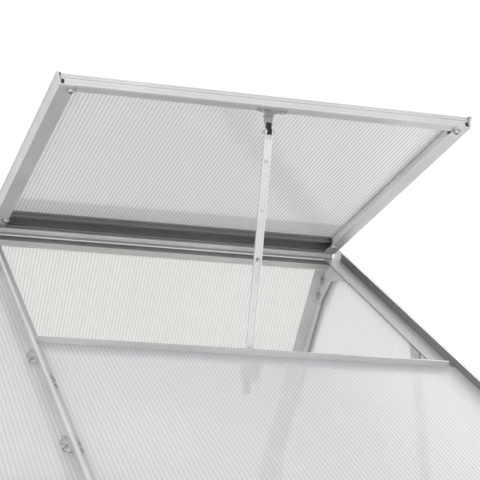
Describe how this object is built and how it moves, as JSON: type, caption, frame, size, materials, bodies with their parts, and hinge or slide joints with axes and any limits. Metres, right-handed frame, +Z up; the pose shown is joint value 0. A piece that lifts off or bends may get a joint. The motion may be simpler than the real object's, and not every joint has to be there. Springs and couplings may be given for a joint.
{
  "type": "cold frame",
  "caption": "Low-walled apex-roof cold frame of aluminium glazing bars and twin-wall sheets, with a top-hinged roof window on a perforated stay.",
  "frame": {"origin": "centre of the footprint on the ground", "axes": "+X along the ridge, +Z up, -Y towards the side with the roof window"},
  "size_m": [1.267, 1.688, 1.1393],
  "materials": {
    "mill_aluminium": "mill",
    "galvanised_plate": "satin",
    "zinc_fastener": "satin",
    "spring_wire": "satin",
    "twin_wall_sheet": "translucent",
    "black_plastic": "matte",
    "stay_metal": "satin"
  },
  "bodies": {
    "frame": {"base_rail_front": "mill_aluminium", "base_rail_back": "mill_aluminium", "base_rail_left": "mill_aluminium", "base_rail_right": "mill_aluminium", "corner_posts": "mill_aluminium", "wall_bar_front": "mill_aluminium", "wall_bar_back": "mill_aluminium", "eave_rail_front": "mill_aluminium", "eave_rail_back": "mill_aluminium", "ridge_beam": "mill_aluminium", "mid_rafter_front": "mill_aluminium", "mid_rafter_back": "mill_aluminium", "end_rafter_front_left": "mill_aluminium", "end_rafter_front_right": "mill_aluminium", "end_rafter_back_left": "mill_aluminium", "end_rafter_back_right": "mill_aluminium", "gable_uprights_left": "mill_aluminium", "gable_uprights_right": "mill_aluminium", "gable_tie_left": "mill_aluminium", "gable_tie_right": "mill_aluminium", "ridge_gussets": "galvanised_plate", "ridge_strap": "galvanised_plate", "eave_brackets": "galvanised_plate", "ridge_end_caps": "mill_aluminium", "roof_sheet_front_left": "twin_wall_sheet", "roof_sheet_front_right": "twin_wall_sheet", "roof_sheet_back_left": "twin_wall_sheet", "roof_sheet_back_right": "twin_wall_sheet", "wall_sheets_front": "twin_wall_sheet", "wall_sheets_back": "twin_wall_sheet", "gable_sheets_left": "twin_wall_sheet", "gable_sheets_right": "twin_wall_sheet", "window_sill": "mill_aluminium", "stay_catch": "galvanised_plate", "glazing_clips": "spring_wire", "frame_bolts": "zinc_fastener", "frame_nuts": "zinc_fastener", "ridge_screws": "zinc_fastener"},
    "window": {"lid_front_rail": "mill_aluminium", "lid_hinge_rail": "mill_aluminium", "lid_left_rail": "mill_aluminium", "lid_right_rail": "mill_aluminium", "lid_sheet": "twin_wall_sheet", "lid_screws": "zinc_fastener", "stay_bracket": "galvanised_plate", "bracket_screws": "zinc_fastener", "stay_block": "black_plastic", "stay_pin": "zinc_fastener"},
    "stay": {"stay_bar": "stay_metal"}
  },
  "joints": [
    {"name": "window_hinge", "type": "hinge", "parent": "frame", "child": "window", "pos_m": [0, -0.02151, 1.12391], "axis": [1, 0, 0], "range_deg": [0, 35.1]},
    {"name": "stay_pivot", "type": "hinge", "parent": "window", "child": "stay", "pos_m": [0.316, -0.56194, 1.078], "axis": [1, 0, 0], "range_deg": [0, 66]}
  ]
}
